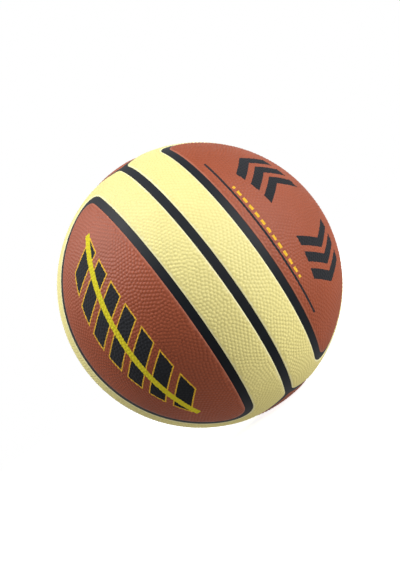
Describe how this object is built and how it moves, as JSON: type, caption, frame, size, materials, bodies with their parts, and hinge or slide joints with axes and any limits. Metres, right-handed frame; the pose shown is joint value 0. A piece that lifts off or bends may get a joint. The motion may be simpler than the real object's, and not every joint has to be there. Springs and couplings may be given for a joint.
{
  "type": "basketball",
  "caption": "Full-size brown and cream rubber basketball: lens-shaped panels in cream frames between sunk black channels, over a carcass, a thread winding and a bladder, with a needle valve.",
  "frame": {"origin": "the ball's centre", "axes": "+Z through the upper pole, where four frame panels meet in a diamond; +Y out through the inflation valve in the rear lens panel; -Y out through the middle of the front lens panel"},
  "size_m": [0.24, 0.2399, 0.24],
  "materials": {
    "brown_cover": "pebbled brown-orange cover rubber, satin",
    "cream_cover": "pebbled cream cover rubber, satin",
    "channel_rubber": "smooth black strip rubber, satin",
    "carcass_rubber": "plain black carcass rubber, matte",
    "winding_thread": "nylon thread wound in all directions",
    "bladder_rubber": "smooth black butyl rubber",
    "valve_rubber": "moulded black rubber, satin"
  },
  "bodies": {
    "root": {"bladder": "bladder_rubber", "valve_body": "valve_rubber", "valve_plug": "valve_rubber", "thread_winding": "winding_thread", "carcass": "carcass_rubber", "strip_ring": "channel_rubber", "strip_arc_front": "channel_rubber", "strip_arc_rear": "channel_rubber", "strip_top_front": "channel_rubber", "strip_top_rear": "channel_rubber", "strip_bottom_front": "channel_rubber", "strip_bottom_rear": "channel_rubber", "strip_lens_rear": "channel_rubber", "strip_lens_left": "channel_rubber", "strip_lens_front": "channel_rubber", "strip_lens_right": "channel_rubber", "frame_panel_rear": "cream_cover", "frame_panel_left": "cream_cover", "frame_panel_front": "cream_cover", "frame_panel_right": "cream_cover", "pole_panel_top_front": "brown_cover", "pole_panel_top_rear": "brown_cover", "pole_panel_bottom_front": "brown_cover", "pole_panel_bottom_rear": "brown_cover", "lens_panel_rear": "brown_cover", "lens_panel_left": "brown_cover", "lens_panel_front": "brown_cover", "lens_panel_right": "brown_cover"}
  },
  "joints": []
}
